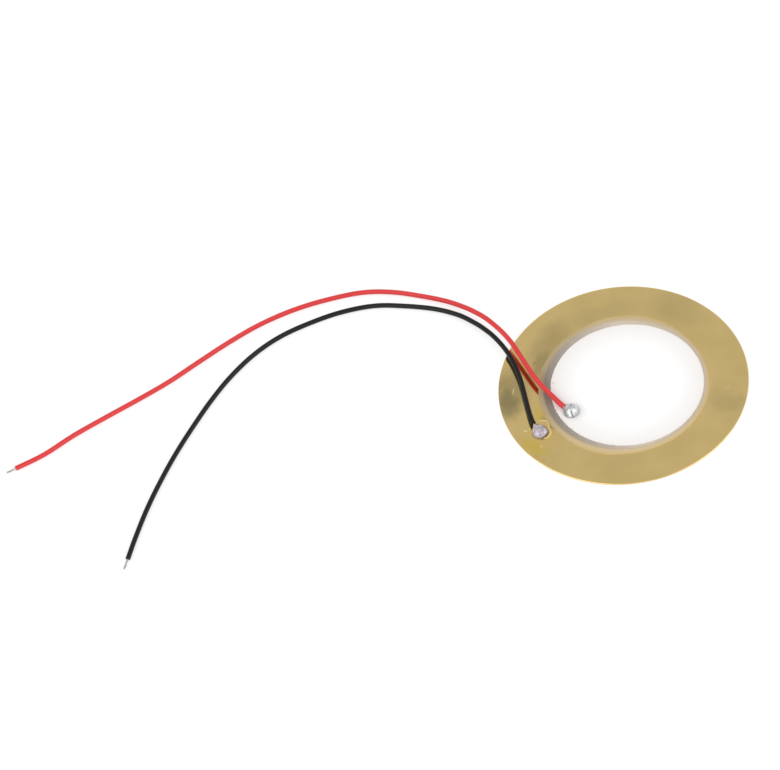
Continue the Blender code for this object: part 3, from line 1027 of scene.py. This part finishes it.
def make_flux(finish, middle):
    """The flux: a film from under the joint out to a wandering edge, where it is rolled up.

    Its height is 0.012 mm plus a rim of 0.045 mm × exp(-((r - R + 0.1) / 0.07)²) in millimetres.
    Each drop is a dome, height × √(1 - (r / radius)²).
    """
    angle = angles(200)
    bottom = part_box("flux_residue")[0].z
    reach = from_table(angle, FLUX_EDGE, 5) + wander(angle, 51, 4, 30, 0.03 * MM)
    inner = 0.95 * MM
    share = np.concatenate([np.linspace(0.0, 0.5, 6), np.linspace(0.55, 1.0, 19)])[:, None]
    radius = inner + (reach - inner) * share
    roll = np.exp(-(((reach - 0.10 * MM - radius) / (0.07 * MM)) ** 2))
    thin = np.clip((reach - radius) / (0.05 * MM), 0.0, 1.0) ** 0.5
    height = (0.012 * MM + 0.045 * MM * roll) * thin
    top = turned_rings(middle, angle, radius, bottom + height)
    top[:, :, 5] = roll
    under = turned_rings(middle, angle, radius[[-1, 0]], bottom * np.ones((2, 1)))
    under[:, :, 5] = 0.0
    surfaces = [(np.concatenate([top[:-1], under]), True)]
    few = angles(20)
    turn = np.linspace(0.0, 1.45, 7)[:, None]
    for x, y, size, tall in FLUX_DROPS:
        size = size * MM * (1.0 + wander(few, 52, 2, 5, 0.15))
        heights = bottom + tall * MM * np.sin(turn)
        rings = turned_rings((x * MM, y * MM), few, size * np.cos(turn), heights)
        rings[:, :, 5] = 0.6
        surfaces.append((rings, False))
    return make_piece("flux_pool", surfaces, finish, ["flux_residue"], sharp=60.0)


# ---------------------------------------------------------------- leads


def smooth_curve(route):
    """A fine line on the Catmull-Rom curve through the route, and the length walked along it."""
    knots = np.array(route) * MM
    knots = np.vstack([2.0 * knots[0] - knots[1], knots, 2.0 * knots[-1] - knots[-2]])
    along = np.linspace(0.0, 1.0, STEPS_PER_STRETCH, endpoint=False)[:, None]
    stretches = []
    for before, start, end, after in zip(knots, knots[1:], knots[2:], knots[3:]):
        linear = (end - before) / 2.0
        square = before - 2.5 * start + 2.0 * end - 0.5 * after
        cube = 1.5 * (start - end) + 0.5 * (after - before)
        stretches.append(start + linear * along + square * along**2 + cube * along**3)
    curve = np.vstack([*stretches, knots[-2:-1]])
    curve[:, 2] = np.maximum(curve[:, 2], LEAD_REST_HEIGHT)
    steps = np.linalg.norm(np.diff(curve, axis=0), axis=1)
    return curve, np.concatenate([[0.0], np.cumsum(steps)])


def at_lengths(line, lengths):
    """Points of the line at those walked lengths, and two directions across it there.

    The tangent runs from 0.15 mm behind a point to 0.15 mm ahead. side = tangent × up, and
    rise = side × tangent, so rings round the line don't twist.
    """
    curve, walked = line
    reach = 0.15 * MM
    behind, points, ahead = [
        np.stack([np.interp(lengths + shift, walked, axis) for axis in curve.T], axis=1)
        for shift in (-reach, 0.0, reach)
    ]
    tangent = ahead - behind
    side = np.cross(tangent, (0.0, 0.0, 1.0))
    side /= np.linalg.norm(side, axis=1, keepdims=True)
    rise = np.cross(side, tangent)
    rise /= np.linalg.norm(rise, axis=1, keepdims=True)
    return points, side, rise


def rings_round(points, side, rise, radii, lengths, sides):
    """Rings round a line: point + radius × (cos a × side + sin a × rise).

    The attribute is radius × cos a, radius × sin a and the length along the line.
    """
    angle = angles(sides)
    wide = radii[:, None] * np.cos(angle)
    tall = radii[:, None] * np.sin(angle)
    place = points[:, None] + wide[..., None] * side[:, None] + tall[..., None] * rise[:, None]
    run = np.broadcast_to(lengths[:, None], wide.shape)
    return np.concatenate([place, np.stack([wide, tall, run], axis=-1)], axis=-1)


def make_sleeve(colour, line, start, end, finish):
    """A sleeve: a tube with a wall, turned in at both cut ends.

    The outer radius is 0.35 mm × (1 + 0.10 × exp(-(s / 2.2 mm)²)) from the joint, where the heat
    swelled it, with a waver of half a hundredth. Both ends are rounded over 0.05 mm.
    """
    rounding = 0.05 * MM
    turn = np.linspace(0.0, math.pi / 2.0, 5)
    body = np.linspace(start + rounding, end - rounding, round((end - start) / (0.5 * MM)))
    lengths = np.concatenate(
        [start + rounding * (1.0 - np.cos(turn)), body[1:-1], end - rounding * (1.0 - np.sin(turn))]
    )
    drop = np.concatenate(
        [rounding * (1.0 - np.sin(turn)), np.zeros(len(body) - 2), rounding * (1.0 - np.cos(turn))]
    )
    swell = 1.0 + 0.10 * np.exp(-(((lengths - start) / (2.2 * MM)) ** 2))
    waver = 1.0 + 0.005 * np.sin(lengths / (2.1 * MM)) * np.sin(lengths / (5.3 * MM) + 1.0)
    outer = SLEEVE_DIAMETER / 2.0 * swell * waver - drop
    inner_lengths = np.linspace(end, start, round((end - start) / (0.8 * MM)))
    inner = np.full(len(inner_lengths), SLEEVE_BORE / 2.0)
    all_lengths = np.concatenate([lengths, inner_lengths])
    radii = np.concatenate([outer, inner])
    points, side, rise = at_lengths(line, all_lengths)
    rings = rings_round(points, side, rise, radii, all_lengths, 24)
    surfaces = [(rings, True)]
    nodes = [colour + "_insulation"]
    return make_piece(colour + "_sleeve", surfaces, finish, nodes, sharp=50.0)


def make_strands(colour, line, finish, seed):
    """Seven twisted strands: one straight in the middle and six round it, a turn every 4.5 mm.

    Strand k keeps 0.1 mm from the middle at the angle 2π s / pitch + k × 60 degrees. Over the
    last millimetre they open by up to 0.02 mm, and they end up to 0.3 mm apart. Each is 2% thinner
    than its place, so that they keep apart, and it is rounded off at its end.
    """
    source = np.random.default_rng(seed)
    total = line[1][-1]
    thick = STRAND_DIAMETER / 2.0
    surfaces = []
    for number in range(7):
        end = total - 0.02 * MM - source.uniform(0.0, 0.3 * MM)
        opening = source.uniform(0.1, 1.0) * 0.02 * MM
        tip = end - 2.0 * MM
        hidden = np.linspace(0.0, tip, round(tip / (0.45 * MM)), endpoint=False)
        lengths = np.concatenate([hidden, np.linspace(tip, end, 16)])
        points, side, rise = at_lengths(line, lengths)
        if number:
            away = STRAND_DIAMETER + opening * np.clip((lengths - tip - MM) / MM, 0.0, 1.0) ** 2
            angle = TAU * lengths / STRAND_PITCH + number * TAU / 6.0
            wide = (away * np.cos(angle))[:, None]
            tall = (away * np.sin(angle))[:, None]
            points = points + wide * side + tall * rise
        radii = np.full(len(lengths), thick * 0.98)
        radii[-1] *= 0.75
        surfaces.append((rings_round(points, side, rise, radii, lengths + number * MM, 8), False))
    nodes = [colour + "_conductor"]
    return make_piece(colour + "_strands", surfaces, finish, nodes, sharp=60.0)


def make_lead(colour, route, first, bare_end, pvc, tinned, seed):
    """A lead: its sleeve, with the strands that go with it."""
    line = smooth_curve(route)
    last = line[1][-1] - bare_end
    sleeve = make_sleeve(colour, line, first, last, pvc)
    strands = make_strands(colour, line, tinned, seed)
    lengths = np.linspace(first, last, 120)
    path = at_lengths(line, lengths)[0]
    return line


# ---------------------------------------------------------------- stage

CAMERA_PLACE = (-0.03206, -0.46726, 0.59412)
CAMERA_DOWN = math.radians(51.382)
CAMERA_ROLL = math.radians(10.161)
CAMERA_LENS = 250.0
CAMERA_SENSOR = 36.0


def make_camera():
    """The camera looks along +Y and down, turned a little about its own axis."""
    data = bpy.data.cameras.new("camera")
    data.lens = CAMERA_LENS
    data.sensor_width = CAMERA_SENSOR
    data.clip_start = 0.01
    data.clip_end = 20.0
    camera = new_object("camera", data)
    tilt = Matrix.Rotation(math.pi / 2.0 - CAMERA_DOWN, 4, "X")
    roll = Matrix.Rotation(-CAMERA_ROLL, 4, "Z")
    camera.matrix_world = Matrix.Translation(CAMERA_PLACE) @ tilt @ roll
    bpy.context.scene.camera = camera


def make_floor():
    """A level sheet of white acrylic, faintly lit from behind, which keeps the shadows pale.

    A square grid of 12 × 12 cells, just below the plate's underside.
    """
    half = 3.0
    level = -0.01 * MM
    cells = 12
    corners = cells + 1
    steps = np.linspace(-half, half, corners)
    x, y = np.meshgrid(steps, steps, indexing="ij")
    points = np.stack([x, y, np.full_like(x, level)], axis=-1).reshape(-1, 3)
    row, place = np.meshgrid(np.arange(cells), np.arange(cells), indexing="ij")
    first = (row * corners + place).ravel()
    faces = np.stack([first, first + corners, first + corners + 1, first + 1], axis=-1)
    mesh = bpy.data.meshes.new("floor")
    mesh.from_pydata(points, [], faces.tolist())
    acrylic = new_material(
        "opal_acrylic",
        Base_Color=grey(0.38),
        Roughness=0.9,
        Specular_IOR_Level=0.0,
        Emission_Color=grey(1.0),
        Emission_Strength=0.64,
    )[0]
    mesh.materials.append(acrylic)
    new_object("floor", mesh)


def make_light():
    """Soft studio light: a pale room, brightest at the horizon, and four broad lamps round it."""
    world = bpy.data.worlds.new("pale_room")
    bpy.context.scene.world = world
    world.use_nodes = True
    tree = world.node_tree
    direction = add(tree, "TexCoord").outputs["Generated"]
    height = add(tree, "SeparateXYZ", {"Vector": direction}).outputs["Z"]
    room = add(
        tree,
        "ValToRGB",
        {"Fac": height},
        stops=[
            (0.0, grey(1.0)),
            (0.30, grey(0.92)),
            (0.62, grey(0.68)),
            (0.80, grey(0.635)),
            (1.0, grey(0.68)),
        ],
    )
    tree.links.new(room.outputs["Color"], tree.nodes["Background"].inputs["Color"])
    # Name, direction from the object to the lamp, power, and the angle that it fills in degrees
    for name, towards, power, width in [
        ("key", (-0.55, -0.25, 0.80), 0.78, 50.0),
        ("fill", (0.60, -0.30, 0.74), 0.60, 40.0),
        ("low", (0.856, -0.236, 0.418), 0.12, 25.0),
        ("front", (-0.30, -0.92, 0.27), 0.45, 50.0),
    ]:
        data = bpy.data.lights.new(name, "SUN")
        data.energy = power
        data.angle = math.radians(width)
        lamp = new_object(name, data)
        look = np.array(towards) / np.linalg.norm(towards)
        across = np.cross((0.0, 1.0, 0.0), look)
        across /= np.linalg.norm(across)
        upward = np.cross(look, across)
        lamp.matrix_world = Matrix(np.stack([across, upward, look], axis=1).tolist()).to_4x4()
    bpy.context.scene.view_settings.view_transform = "Standard"


# ---------------------------------------------------------------- making it all

make_camera()
make_floor()
make_light()

solder_bright = tin_solder("tin_solder_bright", "DCDDDE", "B6B8BB", 0.31)
solder_dull = tin_solder("tin_solder_dull", "D6CDD5", "AA9EAA", 0.48)
silver = fired_silver()
tinned = tinned_copper()

red_pvc = extruded_pvc("red_pvc", "CB3436", "DB3E3F")
black_pvc = extruded_pvc("black_pvc", "090709", "110F11")
red_line = make_lead("red", RED_ROUTE, RED_SLEEVE_START, RED_BARE_END, red_pvc, tinned, seed=61)
black_line = make_lead(
    "black", BLACK_ROUTE, BLACK_SLEEVE_START, BLACK_BARE_END, black_pvc, tinned, seed=62
)

make_plate(rolled_brass())
make_adhesive(cured_adhesive())
make_ceramic(sintered_ceramic())
make_electrode(silver)
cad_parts["lower_electrode"].data.materials.clear()
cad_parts["lower_electrode"].data.materials.append(silver)

red_start = at_lengths(red_line, np.array([0.0, RED_SLEEVE_START]))[0]
black_start = at_lengths(black_line, np.array([0.0, BLACK_SLEEVE_START]))[0]
make_joint(
    "solder_bead",
    "electrode_solder",
    solder_bright,
    shift=(-0.04, 0.16),
    crown=1.08,
    outline=bead_outline,
    power=2.0,
    fullness=0.62,
    lead_line=red_start,
    marks=BEAD_MARKS,
    painted_dark_foot=bead_painted_dark_foot,
    seed=71,
)
make_joint(
    "solder_pad",
    "plate_solder",
    solder_dull,
    shift=(-0.05, 0.08),
    crown=1.0,
    outline=pad_outline,
    power=3.0,
    fullness=0.62,
    lead_line=black_start,
    marks=PAD_MARKS,
    painted_dark_foot=pad_painted_dark_foot,
    seed=72,
)
make_flux(rosin_flux(), (black_start[0][0], black_start[0][1]))
